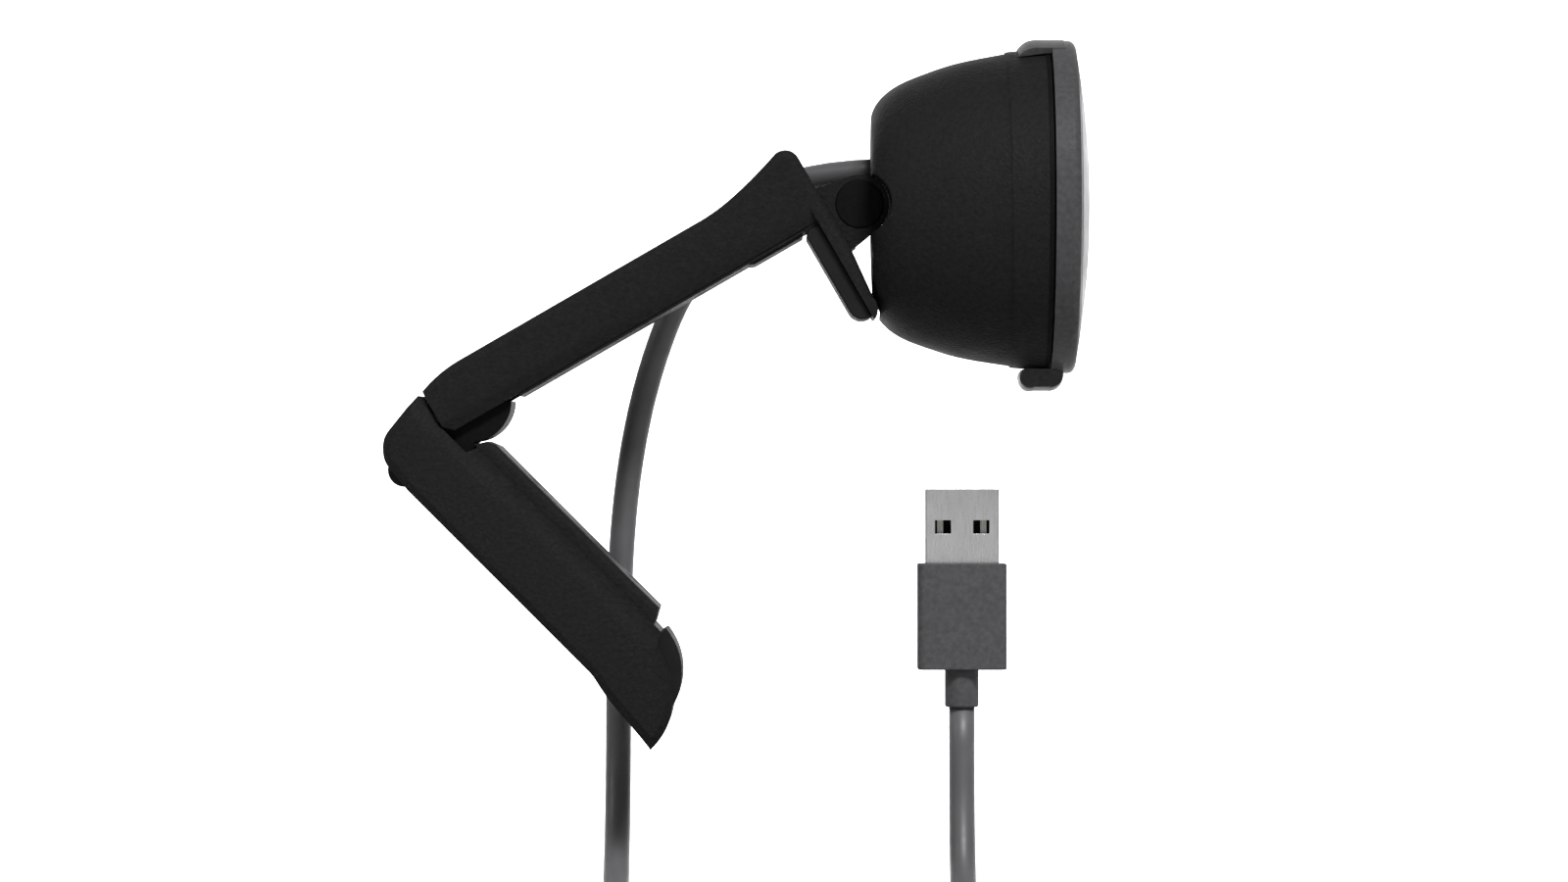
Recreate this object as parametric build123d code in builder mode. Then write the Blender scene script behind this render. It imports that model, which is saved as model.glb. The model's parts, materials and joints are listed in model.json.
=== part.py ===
from build123d import *
import math
import os

os.makedirs("parts", exist_ok=True)

# Webcam with a folding display clip. Millimetres. Up is +Z, the lens looks along +X,
# and the origin is the middle of the face of the rubber pad that rests on the display's top edge.

# ---- driving dimensions ----
ring_diameter = 53.3  # the turning ring round the front of the head
head_depth = 35.0  # back of the head to the crown of its front
arm_slope = 30.0  # rise of the clip's arm above level, degrees
leg_slope = -45.0  # fall of the folding leg at its open stop, degrees
arm_half_width = 11.5
leg_half_width = 12.0
leg_length = 59.5  # elbow axis to the tip of the foot
cord_diameter = 4.2
coil_centre = (1.7, -24.0)
drop_x = -26.2  # where the cord hangs straight down
cord_side = 17.0  # how far to the side of the clip the cord hangs

# ---- measures worked out from them ----
running_gap = 0.3  # left between pieces that move past each other
arm_seam = 1.0  # height of the arm's side walls above the pad face
arm_underside = 0.48
arm_top = 10.3
arm_rear = -60.3
arm_channel_half = 9.2
arm_channel_top = 8.8
lip_front = 10.0
lip_tip_front = 9.2  # the lip is thinner towards its tip
lip_back = 7.6
lip_end = -17.0
elbow_u = -54.5
elbow_v = 3.8
tilt_u = 14.8
ring_radius = ring_diameter / 2
head_back = 14.73
head_front = head_back + head_depth
ring_height = 7.2
beyond = 40.0  # wider than any piece, for cuts that go right across
cord_radius = cord_diameter / 2
pin_radius = 1.5
pin_fit = 0.02
screw_radius = 0.8
screw_head_radius = 1.5


def turned(u, v, slope):
    """Where a point u along and v off a line at this slope lies, as (x, z)."""
    angle = math.radians(slope)
    return (
        u * math.cos(angle) - v * math.sin(angle),
        u * math.sin(angle) + v * math.cos(angle),
    )


def side_plane(slope, origin=(0.0, 0.0), side=0.0):
    """Upright plane seen from the near side, its local X running along a line at this slope."""
    x, z = turned(1.0, 0.0, slope)
    return Plane(origin=(origin[0], side, origin[1]), x_dir=(x, 0, z), z_dir=(0, -1, 0))


def end_plane(slope, origin):
    """Plane looking along a line at this slope: local X to the far side, local Y off the line."""
    x, z = turned(1.0, 0.0, slope)
    return Plane(origin=(origin[0], 0, origin[1]), x_dir=(0, 1, 0), z_dir=(x, 0, z))


elbow = turned(elbow_u, elbow_v, arm_slope)
tilt_axis = turned(tilt_u, 0.0, arm_slope)
clip = side_plane(arm_slope)
leg = side_plane(leg_slope, elbow)
level = side_plane(0.0)


def face_plane(x, height=ring_height):
    """Plane across the head at a distance x along the lens axis: local X to the far side, local Y up."""
    return Plane(origin=(x, 0, height), x_dir=(0, 1, 0), z_dir=(1, 0, 0))


def radial_plane(angle):
    """Plane through the lens axis: local X along it, local Y outwards, the angle counted from the top."""
    turn = math.radians(angle)
    return Plane(
        origin=(0, 0, ring_height),
        x_dir=(1, 0, 0),
        z_dir=(0, -math.cos(turn), math.sin(turn)),
    )


def clip_normal(u, v, side=0.0):
    """Plane lying on the arm, facing away from the display."""
    x, z = turned(u, v, arm_slope)
    dx, dz = turned(0.0, 1.0, arm_slope)
    return Plane(origin=(x, side, z), x_dir=(0, 1, 0), z_dir=(dx, 0, dz))


def lip_normal(u, v, side=0.0):
    """Plane lying on the lip, facing forward along the arm."""
    x, z = turned(u, v, arm_slope)
    dx, dz = turned(1.0, 0.0, arm_slope)
    return Plane(origin=(x, side, z), x_dir=(0, 1, 0), z_dir=(dx, 0, dz))


def ring_points(radius, angles):
    """Points on a circle of this radius, the angles counted from the far side towards the top."""
    return [
        (radius * math.cos(math.radians(a)), radius * math.sin(math.radians(a)))
        for a in angles
    ]


def save(part, name):
    part.label = name
    export_step(part, "parts/" + name + ".step")


# ================= the clip =================

# ---- arm and lip, one moulding ----
lip_taper_start = (lip_front, -6.0)
lip_taper_end = (lip_tip_front, -14.5)
lip_tip = (8.0, lip_end)
lip_tip_middle = (8.85, -16.1)
rear_chamfer = 1.4  # under the arm's rear end
rear_relief = 2.4  # deeper between the side walls, where the leg's knuckle lies
bevel_top = 3.3
bevel_width = 1.2
fin_start = (-8.5, arm_top)
fin_middle = (-0.8, 11.3)
fin_shoulder = (6.6, 13.4)
fin_peak = (8.8, 13.3)
fin_end = (lip_front, 11.3)
rear_top = (-53.0, arm_top)
screw_boss_u = (-40.0, -14.0)
boss_radius = 2.6
bracket_screw_v = -2.8
bracket_screw_y = 5.7

with BuildPart() as clip_arm:
    with BuildSketch(clip):
        with BuildLine():
            Polyline(
                (arm_rear, 8.9),
                (arm_rear, arm_seam + rear_chamfer),
                (arm_rear + rear_chamfer, arm_seam),
                (lip_back, arm_seam),
                (lip_back, lip_end),
                lip_tip,
            )
            ThreePointArc(lip_tip, lip_tip_middle, lip_taper_end)
            Polyline(lip_taper_end, lip_taper_start, fin_end)
            ThreePointArc(fin_end, fin_peak, fin_shoulder)
            Spline(fin_shoulder, fin_middle, fin_start, tangents=[(-1, -0.33), (-1, 0)])
            Line(fin_start, rear_top)
            ThreePointArc(rear_top, (-56.8, 9.9), (arm_rear, 8.9))
        make_face()
    extrude(amount=arm_half_width, both=True)
    outer_edges = [
        edge
        for edge in clip_arm.edges()
        if abs(abs(edge.center().Y) - arm_half_width) < 0.01
        and clip.to_local_coords(edge.center()).Y > 9.0
    ]
    fillet(outer_edges, 1.4)
    # the long bevels under both sides of the arm
    with BuildSketch(end_plane(arm_slope, turned(arm_rear - 1, 0, arm_slope))):
        for hand in (-1, 1):
            with BuildLine():
                Polyline(
                    (hand * (arm_half_width - bevel_width), arm_underside),
                    (hand * arm_half_width, bevel_top),
                    (hand * (arm_half_width + 1), bevel_top),
                    (hand * (arm_half_width + 1), arm_underside),
                    close=True,
                )
            make_face()
    extrude(amount=lip_back - arm_rear + 1, mode=Mode.SUBTRACT)
    # the channel under the arm, which holds the cover and lets the leg's knuckle turn
    channel_length = 5.0 - (arm_rear + 1.2)
    with BuildSketch(clip):
        with Locations((arm_rear + 1.2 + channel_length / 2, (arm_channel_top + 0.5) / 2)):
            Rectangle(channel_length, arm_channel_top - 0.5)
    extrude(amount=arm_channel_half, both=True, mode=Mode.SUBTRACT)
    with BuildSketch(clip):
        with BuildLine():
            Polyline(
                (arm_rear, arm_seam),
                (arm_rear, arm_seam + rear_relief),
                (arm_rear + rear_relief, arm_seam),
                close=True,
            )
        make_face()
    extrude(amount=arm_channel_half, both=True, mode=Mode.SUBTRACT)
    # bosses for the cover's screws
    for boss_u in screw_boss_u:
        with BuildSketch(clip_normal(boss_u, 2.0)):
            Circle(boss_radius)
        extrude(amount=arm_channel_top - 2.0)
        with BuildSketch(clip_normal(boss_u, 2.0)):
            Circle(screw_radius)
        extrude(amount=5.0, mode=Mode.SUBTRACT)
    # bore for the elbow pin
    with BuildSketch(clip):
        with Locations((elbow_u, elbow_v)):
            Circle(pin_radius + pin_fit)
    extrude(amount=arm_half_width - 0.8, both=True, mode=Mode.SUBTRACT)
    # countersunk holes for the bracket's screws
    for hand in (-1, 1):
        with BuildSketch(lip_normal(lip_back, bracket_screw_v, hand * bracket_screw_y)):
            Circle(screw_head_radius)
        extrude(amount=1.0, mode=Mode.SUBTRACT)
        with BuildSketch(lip_normal(lip_back, bracket_screw_v, hand * bracket_screw_y)):
            Circle(screw_radius)
        extrude(amount=lip_front - lip_back + 1, mode=Mode.SUBTRACT)
save(clip_arm.part, "clip_arm")

# ---- cover that closes the arm's channel ----
cover_rear = -47.3
pad_rear = -5.3
pad_front = 4.5
pad_depth = 1.3
pad_half_width = 9.0
with BuildPart() as arm_cover:
    with BuildSketch(clip):
        with Locations(((cover_rear + lip_back) / 2, (arm_underside + arm_seam) / 2)):
            Rectangle(lip_back - cover_rear, arm_seam - arm_underside)
    extrude(amount=arm_half_width - bevel_width, both=True)
    with BuildSketch(clip):
        with Locations(((cover_rear + 4.9) / 2, (arm_seam + 2.0) / 2)):
            Rectangle(4.9 - cover_rear, 2.0 - arm_seam)
    extrude(amount=arm_channel_half - 0.1, both=True)
    with BuildSketch(clip):
        with Locations(((pad_rear + pad_front) / 2, pad_depth / 2)):
            Rectangle(pad_front - pad_rear, pad_depth)
    extrude(amount=pad_half_width, both=True, mode=Mode.SUBTRACT)
    for boss_u in screw_boss_u:
        with BuildSketch(clip_normal(boss_u, arm_underside)):
            Circle(screw_head_radius)
        extrude(amount=0.8, mode=Mode.SUBTRACT)
        with BuildSketch(clip_normal(boss_u, arm_underside)):
            Circle(screw_radius)
        extrude(amount=2.0, mode=Mode.SUBTRACT)
save(arm_cover.part, "arm_under_cover")

# ---- the cover's screws ----
with BuildPart() as cover_screws:
    for boss_u in screw_boss_u:
        with BuildSketch(clip_normal(boss_u, arm_underside + 0.1)):
            Circle(screw_head_radius - 0.05)
        extrude(amount=0.7)
        with BuildSketch(clip_normal(boss_u, arm_underside + 0.8)):
            Circle(screw_radius)
        extrude(amount=5.2)
        with BuildSketch(clip_normal(boss_u, arm_underside + 0.1)):
            Rectangle(1.6, 0.35)
            Rectangle(0.35, 1.6)
        extrude(amount=0.4, mode=Mode.SUBTRACT)
save(cover_screws.part, "cover_screws")

# ---- rubber pads of the jaw ----
with BuildPart() as arm_pad:
    with BuildSketch(clip):
        with BuildLine():
            Polyline(
                (pad_rear, pad_depth),
                (pad_rear, 0.35),
                (pad_rear + 0.9, 0.0),
                (pad_front, 0.0),
                (pad_front, pad_depth),
                close=True,
            )
        make_face()
    extrude(amount=pad_half_width, both=True)
save(arm_pad.part, "arm_grip_pad")

lip_pad_face = 4.8
lip_pad_end = -16.5
lip_pad_corner = 2.4
pad_lead_in = 0.8
with BuildPart() as lip_pad:
    with BuildSketch(clip):
        with BuildLine():
            Polyline(
                (lip_pad_face, lip_pad_end + lip_pad_corner),
                (lip_pad_face, -running_gap),
                (lip_pad_face + pad_lead_in, arm_underside),
                (lip_back, arm_underside),
                (lip_back, lip_pad_end),
                (lip_pad_face + lip_pad_corner, lip_pad_end),
            )
            RadiusArc(
                (lip_pad_face + lip_pad_corner, lip_pad_end),
                (lip_pad_face, lip_pad_end + lip_pad_corner),
                lip_pad_corner,
            )
        make_face()
    extrude(amount=arm_half_width - 1.0, both=True)
save(lip_pad.part, "lip_grip_pad")

# ---- hinge bracket on the front of the lip ----
bracket_half_height = 5.6
barrel_radius = 4.7
ear_inner = 3.4
ear_outer = 8.0
flange = 1.0
cap_radius = 3.82
cap_depth = 0.8
with BuildPart() as bracket:
    with BuildSketch(clip):
        with Locations((lip_front + flange / 2, 0)):
            Rectangle(flange, 2 * bracket_half_height)
    extrude(amount=ear_outer + 0.6, both=True)
    for hand in (-1, 1):
        with BuildSketch(side_plane(arm_slope, side=hand * (ear_inner + ear_outer) / 2)):
            with Locations((tilt_u, 0)):
                Circle(barrel_radius)
            with Locations((lip_front + flange + 0.1, 0)):
                Rectangle(0.2, 2 * bracket_half_height - 0.5)
            make_hull()
        extrude(amount=(ear_outer - ear_inner) / 2, both=True)
        with BuildSketch(side_plane(arm_slope, side=hand * ear_outer)):
            with Locations((tilt_u, 0)):
                Circle(cap_radius + 0.05)
        extrude(amount=cap_depth, both=True, mode=Mode.SUBTRACT)
        with BuildSketch(lip_normal(lip_front, bracket_screw_v, hand * bracket_screw_y)):
            Circle(screw_radius)
        extrude(amount=2.7, mode=Mode.SUBTRACT)
    with BuildSketch(clip):
        with Locations((tilt_u, 0)):
            Circle(pin_radius)
    extrude(amount=ear_outer, both=True, mode=Mode.SUBTRACT)
save(bracket.part, "hinge_bracket")

with BuildPart() as bracket_screws:
    for hand in (-1, 1):
        with BuildSketch(lip_normal(lip_back + 0.1, bracket_screw_v, hand * bracket_screw_y)):
            Circle(screw_head_radius - 0.05)
        extrude(amount=0.9)
        with BuildSketch(lip_normal(lip_back + 1.0, bracket_screw_v, hand * bracket_screw_y)):
            Circle(screw_radius)
        extrude(amount=4.0)
save(bracket_screws.part, "bracket_screws")

# ---- tilt pin, its two caps and the friction washers ----
with BuildPart() as tilt_pin:
    with BuildSketch(clip):
        with Locations((tilt_u, 0)):
            Circle(pin_radius)
    extrude(amount=ear_outer - cap_depth, both=True)
save(tilt_pin.part, "tilt_pin")

for hand, cap_name in ((-1, "pin_cap_near"), (1, "pin_cap_far")):
    with BuildPart() as cap:
        with BuildSketch(side_plane(arm_slope, side=hand * (ear_outer - cap_depth / 2 + 0.1))):
            with Locations((tilt_u, 0)):
                Circle(cap_radius)
        extrude(amount=cap_depth / 2 + 0.1, both=True)
        rim = cap.edges().filter_by(GeomType.CIRCLE).sort_by(Axis.Y)[0 if hand < 0 else -1]
        fillet(rim, 0.25)
    save(cap.part, cap_name)

lug_half_width = 2.9
lug_radius = 3.5
with BuildPart() as washers:
    for hand in (-1, 1):
        with BuildSketch(side_plane(arm_slope, side=hand * (lug_half_width + 0.275))):
            with Locations((tilt_u, 0)):
                Circle(lug_radius - 0.2)
                Circle(pin_radius, mode=Mode.SUBTRACT)
        extrude(amount=0.225, both=True)
save(washers.part, "tilt_friction_washers")

# ================= the folding leg =================

leg_outer = -17.0
leg_rim = -6.2  # top of the outer walls
leg_seat = -4.4  # top of the inner walls, where the cover sits
rim_width = 1.2
rim_drop = 2.3
wall_inner = leg_half_width - 2.4
leg_cover_start = 5.4
leg_cover_end = 45.7
leg_cover_top = -1.95
heel = (0.4, -15.1)
heel_radius = 2.7
knuckle_half_width = 8.8
knuckle_radius = 6.55
knuckle_hub = 4.4
tip = (leg_length, -18.9)
foot_socket = [(49.2, -6.2), (52.2, -7.6), (51.0, -11.4), (48.0, -10.0)]
socket_half_width = 7.5
foot_step = [(48.6, -6.5), (47.4, -4.45), (46.0, leg_seat)]
foot_pad_half_width = wall_inner - 0.1
leg_screw_spots = (16.0, 38.0)
leg_boss_radius = 2.4
leg_floor = -15.2

# the rim's bevel, measured from the line through the elbow
rim_start = -8.0
rim_high = leg_rim
rim_low = leg_rim - rim_drop
leg_cover_floor = -6.4


def leg_normal(p, q):
    """Plane lying on the leg, facing out of its open side."""
    origin = leg.from_local_coords((p, q, 0))
    return Plane(origin=origin, x_dir=(0, 1, 0), z_dir=leg.y_dir)


def foot_pad_line():
    """Outline of the foot pad: a domed sole that dips between the leg's walls."""
    ThreePointArc((47.6, -3.5), (53.8, -6.2), (57.1, -11.4))
    Line((57.1, -11.4), (56.3, -12.2))
    ThreePointArc((56.3, -12.2), (52.9, -8.9), (48.6, -6.9))
    Polyline((48.6, -6.9), (47.4, -4.45), (47.6, -3.5))


with BuildPart() as leg_shell:
    with BuildSketch(leg):
        with BuildLine():
            Polyline((-2.0, -16.5), (3.0, leg_outer), (44.0, leg_outer))
            Spline((44.0, leg_outer), (46.8, -17.5), tip, tangents=[(1, -0.05), (1, -0.17)])
            Spline(tip, (58.4, -13.6), (56.2, -10.6), (51.1, -7.2), foot_step[0], tangents=[(0, 1), (-1, 0.25)])
            Polyline(
                *foot_step,
                (6.1, leg_seat),
                (leg_cover_start, leg_rim),
                (-0.6, leg_rim),
                (-5.7, -4.83),
                (-6.4, -5.2),
                (-6.3, -7.9),
                (-5.8, -12.4),
            )
            Spline((-5.8, -12.4), (-4.3, -15.2), (-2.0, -16.5), tangents=[(0.1, -1), (1, -0.2)])
        make_face()
    extrude(amount=leg_half_width, both=True)
    # bevels round the foot and along both rims, the outer walls ending lower than the inner ones
    foot_edges = [
        edge
        for edge in leg_shell.edges().filter_by(GeomType.BSPLINE)
        if abs(abs(edge.center().Y) - leg_half_width) < 0.01
        and leg.to_local_coords(edge.center()).X > foot_step[0][0]
        and leg.to_local_coords(edge.center()).Y > tip[1]
        and edge.length > 10.0
    ]
    chamfer(foot_edges, rim_width)
    with BuildSketch(Plane(origin=leg.from_local_coords((rim_start, 0, 0)), x_dir=(0, 1, 0), z_dir=leg.x_dir)):
        for hand in (-1, 1):
            with BuildLine():
                Polyline(
                    (hand * leg_half_width, rim_low),
                    (hand * (leg_half_width - rim_width), rim_high),
                    (hand * (leg_half_width - rim_width), rim_high + 5),
                    (hand * (leg_half_width + 1), rim_high + 5),
                    (hand * (leg_half_width + 1), rim_low),
                    close=True,
                )
            make_face()
    extrude(amount=foot_step[0][0] - rim_start, mode=Mode.SUBTRACT)
    # hollow between the walls
    with BuildSketch(leg):
        with BuildLine():
            Polyline(
                (2.2, -8.0),
                (2.2, leg_floor),
                (44.0, leg_floor),
                (45.4, -8.0),
                (45.0, 0.0),
                (2.2, 0.0),
                close=True,
            )
        make_face()
    extrude(amount=wall_inner, both=True, mode=Mode.SUBTRACT)
    # bosses for the cover's screws
    for screw_p in leg_screw_spots:
        with BuildSketch(leg_normal(screw_p, leg_floor - 0.5)):
            Circle(leg_boss_radius)
        extrude(amount=leg_cover_floor - leg_floor + 0.5)
        with BuildSketch(leg_normal(screw_p, leg_cover_floor)):
            Circle(screw_radius)
        extrude(amount=-5.0, mode=Mode.SUBTRACT)
    # seat for the foot pad
    with BuildSketch(leg):
        with BuildLine():
            foot_pad_line()
        make_face()
    extrude(amount=foot_pad_half_width, both=True, mode=Mode.SUBTRACT)
    # socket that grips the foot pad's stem
    with BuildSketch(leg):
        with BuildLine():
            Polyline(*foot_socket, close=True)
        make_face()
    extrude(amount=socket_half_width, both=True, mode=Mode.SUBTRACT)
    # round seat for the heel bumper
    with BuildSketch(leg):
        with Locations(heel):
            Circle(heel_radius)
    extrude(amount=wall_inner, both=True, mode=Mode.SUBTRACT)
save(leg_shell.part, "leg_shell")

# ---- knuckle: the hub that turns inside the arm ----
with BuildPart() as knuckle:
    with BuildSketch(leg):
        Circle(knuckle_hub)
        with BuildLine():
            sector_start = ring_points(knuckle_radius, [-68])[0]
            sector_middle = ring_points(knuckle_radius, [-12])[0]
            sector_end = ring_points(knuckle_radius, [45])[0]
            Line((0, 0), sector_start)
            ThreePointArc(sector_start, sector_middle, sector_end)
            Line(sector_end, (0, 0))
        make_face()
        with BuildLine():
            Polyline(
                (2.5, leg_rim),
                (2.5, -11.4),
                (3.6, -12.4),
                (3.6, leg_floor),
                (9.5, leg_floor),
                (9.5, -4.6),
                (5.2, -4.6),
                (5.2, -3.9),
                (1.0, -1.0),
                (1.9, -4.3),
                (-0.9, -6.0),
                (-0.9, leg_rim),
                close=True,
            )
        make_face()
        Circle(pin_radius + 0.05, mode=Mode.SUBTRACT)
    extrude(amount=knuckle_half_width, both=True)
    # slot through the middle for the friction spring
    with BuildSketch(leg):
        Circle(3.3)
        Circle(pin_radius, mode=Mode.SUBTRACT)
    extrude(amount=3.0, both=True, mode=Mode.SUBTRACT)
save(knuckle.part, "leg_knuckle")

with BuildPart() as elbow_spring:
    with BuildSketch(leg):
        Circle(3.1)
        Circle(pin_radius + 0.05, mode=Mode.SUBTRACT)
        with Locations((2.5, 0)):
            Rectangle(3.0, 0.6, mode=Mode.SUBTRACT)
    extrude(amount=2.9, both=True)
save(elbow_spring.part, "elbow_friction_spring")

with BuildPart() as elbow_pin:
    with BuildSketch(leg):
        Circle(pin_radius)
    extrude(amount=arm_half_width - 0.8, both=True)
save(elbow_pin.part, "elbow_pin")

# ---- cover on the inner side of the leg ----
leg_head_seat = -3.3  # where the heads of the cover's screws bear
with BuildPart() as leg_cover:
    with BuildSketch(leg):
        with BuildLine():
            Polyline(
                (leg_cover_start, leg_seat),
                (6.4, -2.7),
                (8.2, leg_cover_top),
                (44.5, leg_cover_top),
                (leg_cover_end, -4.1),
                (leg_cover_end, leg_seat),
                close=True,
            )
        make_face()
    extrude(amount=leg_half_width - 1.8, both=True)
    with BuildSketch(leg):
        with Locations((27.0, (leg_seat + leg_cover_floor) / 2)):
            Rectangle(34.0, leg_seat - leg_cover_floor)
    extrude(amount=wall_inner - 0.1, both=True)
    with BuildSketch(leg):
        with Locations((27.0, (leg_cover_floor - 3.5) / 2)):
            Rectangle(30.0, -3.5 - leg_cover_floor)
    extrude(amount=wall_inner - 2.0, both=True, mode=Mode.SUBTRACT)
    for screw_p in leg_screw_spots:
        with BuildSketch(leg_normal(screw_p, leg_cover_floor)):
            Circle(leg_boss_radius)
        extrude(amount=-3.0 - leg_cover_floor)
    long_edges = [
        edge
        for edge in leg_cover.edges()
        if abs(edge.length - (44.5 - 8.2)) < 0.01 and leg.to_local_coords(edge.center()).Y > leg_cover_top - 0.1
    ]
    fillet(long_edges, 1.2)
    with BuildSketch(leg):
        Circle(knuckle_radius + 0.1)
    extrude(amount=knuckle_half_width + 0.1, both=True, mode=Mode.SUBTRACT)
    for screw_p in leg_screw_spots:
        with BuildSketch(leg_normal(screw_p, leg_cover_floor)):
            Circle(screw_radius)
        extrude(amount=5.0, mode=Mode.SUBTRACT)
        with BuildSketch(leg_normal(screw_p, leg_head_seat)):
            Circle(screw_head_radius)
        extrude(amount=2.0, mode=Mode.SUBTRACT)
save(leg_cover.part, "leg_inner_cover")

with BuildPart() as leg_screws:
    for screw_p in leg_screw_spots:
        with BuildSketch(leg_normal(screw_p, leg_head_seat)):
            Circle(screw_head_radius - 0.05)
        extrude(amount=0.9)
        with BuildSketch(leg_normal(screw_p, leg_cover_floor - 4.8)):
            Circle(screw_radius)
        extrude(amount=leg_head_seat - leg_cover_floor + 4.8)
        with BuildSketch(leg_normal(screw_p, leg_head_seat + 0.5)):
            Rectangle(1.6, 0.35)
            Rectangle(0.35, 1.6)
        extrude(amount=0.4, mode=Mode.SUBTRACT)
save(leg_screws.part, "leg_screws")

# ---- rubber heel bumper and foot pad ----
with BuildPart() as heel_bumper:
    with BuildSketch(leg):
        with Locations(heel):
            Circle(heel_radius)
    extrude(amount=leg_half_width - 2.45, both=True)
save(heel_bumper.part, "heel_bumper")

with BuildPart() as foot_pad:
    with BuildSketch(leg):
        with BuildLine():
            foot_pad_line()
        make_face()
    extrude(amount=foot_pad_half_width, both=True)
    with BuildSketch(leg):
        with BuildLine():
            Polyline(*foot_socket, close=True)
        make_face()
    extrude(amount=socket_half_width, both=True)
save(foot_pad.part, "foot_pad")

# ================= the head =================

rim_x = 42.45  # where the rear housing ends and the dark gap begins
axis_droop = 0.9  # the housing's axis falls this much towards the back, degrees
housing_profile = [(0.9, 17.0), (3.4, 19.55), (8.5, 21.9), (15.0, 23.85), (22.3, 25.2)]
groove_radius = 5.0
lug_slot = 3.0
exit_side = 9.5
exit_height = 13.3
exit_splay = 27.0  # the cord leaves turned this far to the side, degrees
grommet_radius = 3.1
board_x = 30.0
board_thickness = 1.2
post_radius = 15.0
post_angles = (30, 150, 270)
seat_screw_radius = 20.6
seat_screw_angles = (90, 210, 330)
exit_direction = (
    -math.cos(math.radians(exit_splay)),
    math.sin(math.radians(exit_splay)),
    0.0,
)


def exit_plane(depth):
    """Plane square to the cord where it leaves the head, this far inside the head's back."""
    return Plane(
        origin=(
            head_back - depth * exit_direction[0],
            exit_side - depth * exit_direction[1],
            exit_height,
        ),
        x_dir=(0, 0, 1),
        z_dir=exit_direction,
    )


droop = math.radians(axis_droop)
back_height = ring_height - 0.4 - (rim_x - head_back) * math.tan(droop)
housing_plane = Plane(
    origin=(head_back, 0, back_height),
    x_dir=(math.cos(droop), 0, math.sin(droop)),
    z_dir=(0, -1, 0),
)
housing_axis = Axis((head_back, 0, back_height), (math.cos(droop), 0, math.sin(droop)))

with BuildPart() as housing:
    with BuildSketch(housing_plane):
        with BuildLine():
            Polyline((29.0, 25.85), (29.0, 0), (-0.35, 0), (-0.05, 10.7))
            Spline((-0.05, 10.7), *housing_profile, (29.0, 25.85), tangents=[(0.02, 1), (1, 0.07)])
        make_face()
    revolve(axis=housing_axis)
    with BuildSketch(housing_plane):
        with BuildLine():
            Polyline((29.5, 23.85), (24.0, 23.75), (14.3, 21.9), (9.6, 20.6), (6.5, 18.6), (4.9, 15.0))
            Polyline((4.9, 15.0), (4.9, 0), (29.5, 0), (29.5, 23.85))
        make_face()
    revolve(axis=housing_axis, mode=Mode.SUBTRACT)
    # bosses for the screws that hold the front seat
    with BuildSketch(face_plane(30.0)):
        with Locations(*ring_points(seat_screw_radius, seat_screw_angles)):
            Circle(2.3)
    extrude(amount=10.0)
    with BuildSketch(face_plane(33.0)):
        with Locations(*ring_points(seat_screw_radius, seat_screw_angles)):
            Circle(screw_radius)
    extrude(amount=8.0, mode=Mode.SUBTRACT)
    # the mouth that takes the front seat
    with BuildSketch(face_plane(40.0)):
        Circle(23.85)
    extrude(amount=6.0, mode=Mode.SUBTRACT)
    # square ends at the back and at the rim
    with BuildSketch(face_plane(rim_x)):
        Circle(beyond)
    extrude(amount=5.0, mode=Mode.SUBTRACT)
    with BuildSketch(face_plane(head_back)):
        Circle(beyond)
    extrude(amount=-5.0, mode=Mode.SUBTRACT)
    # groove that clears the hinge's ears
    with BuildSketch(level):
        with Locations(tilt_axis):
            Circle(groove_radius)
    extrude(amount=30.0, both=True, mode=Mode.SUBTRACT)
    # slot for the tilt lug
    with BuildSketch(level):
        with Locations((tilt_axis[0] + 5.0, tilt_axis[1])):
            Rectangle(10.0, 2 * lug_slot)
    extrude(amount=lug_half_width, both=True, mode=Mode.SUBTRACT)
    # shallow landing for the lip when the lens points fully down
    with BuildSketch(clip):
        with BuildLine():
            Polyline(
                (0.0, lip_end - running_gap),
                (lip_tip[0] + 2 * running_gap, lip_end - running_gap),
                (lip_tip_middle[0] + 1.5 * running_gap, lip_tip_middle[1] - running_gap),
                (lip_taper_end[0] + running_gap, lip_taper_end[1]),
                (lip_taper_start[0] + running_gap, lip_taper_start[1]),
                (lip_front + running_gap, 3.0),
                (0.0, 3.0),
                close=True,
            )
        make_face()
    extrude(amount=arm_half_width + 2 * running_gap, both=True, mode=Mode.SUBTRACT)
    # hole for the cord's grommet
    with BuildSketch(exit_plane(7.0)):
        Circle(grommet_radius)
    extrude(amount=12.0, mode=Mode.SUBTRACT)
save(housing.part, "rear_housing")

# ---- lug that carries the head on the tilt pin ----
lug_plate_x = 19.75
with BuildPart() as lug:
    with BuildSketch(level):
        with Locations(tilt_axis):
            Circle(lug_radius)
        with Locations(((tilt_axis[0] + lug_plate_x + 1.0) / 2, tilt_axis[1])):
            Rectangle(lug_plate_x + 1.0 - tilt_axis[0], 2 * lug_slot - 0.1)
        with Locations(tilt_axis):
            Circle(pin_radius + 0.05, mode=Mode.SUBTRACT)
    extrude(amount=lug_half_width - 0.05, both=True)
    with BuildSketch(face_plane(lug_plate_x, tilt_axis[1])):
        Rectangle(12.4, 9.0)
        with Locations((-4.6, 0), (4.6, 0)):
            Circle(screw_radius, mode=Mode.SUBTRACT)
    extrude(amount=1.2)
save(lug.part, "tilt_lug")

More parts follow.
